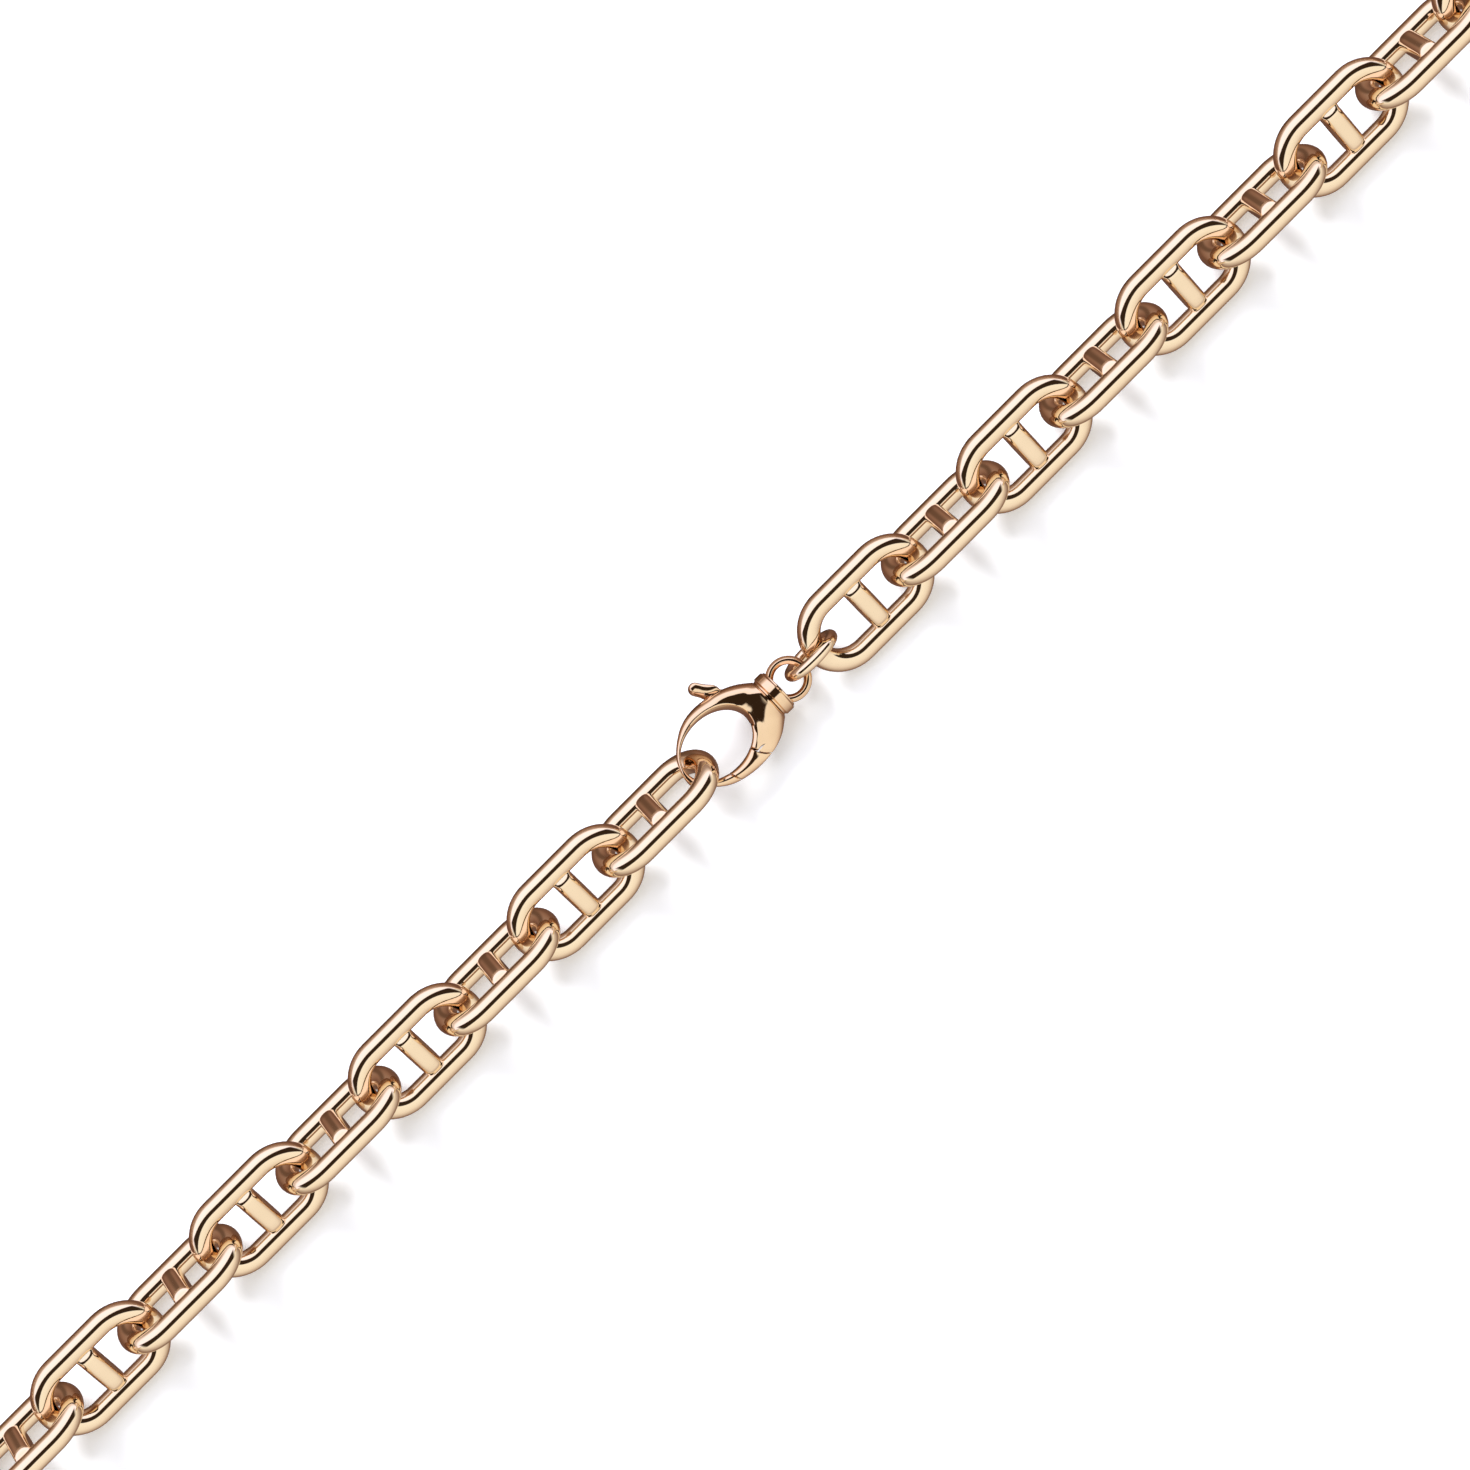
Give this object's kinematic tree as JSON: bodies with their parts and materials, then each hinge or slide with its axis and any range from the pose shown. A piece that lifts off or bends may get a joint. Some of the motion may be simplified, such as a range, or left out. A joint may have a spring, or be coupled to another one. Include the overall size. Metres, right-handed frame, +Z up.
{
  "type": "mariner chain necklace",
  "caption": "Closed necklace of stud-link mariner chain in polished rose gold, its oval links leaning left and right in turn, each with a bar across, fastened by a lobster clasp and jump ring.",
  "frame": {"origin": "on the surface the necklace lies on, under the middle of the closed loop", "axes": "+Z up from the surface; X along the straight front stretch that holds the clasp, +X from hook to eye; the clasp is on the -Y side"},
  "size_m": [0.2135, 0.0998, 0.0058],
  "materials": {
    "rose_gold": "polished"
  },
  "bodies": {
    "chain": {"chain_right": "rose_gold", "chain_left": "rose_gold", "jump_ring": "rose_gold", "clasp_body": "rose_gold", "clasp_pin": "rose_gold"},
    "lever": {"clasp_lever": "rose_gold"}
  },
  "joints": [
    {"name": "lever_hinge", "type": "hinge", "parent": "chain", "child": "lever", "pos_m": [0.00221, -0.04802, 0.00211], "axis": [-0.0427, 0.2079, -0.9772], "range_deg": [0, 18], "stiffness_Nm_per_rad": 0.01}
  ]
}
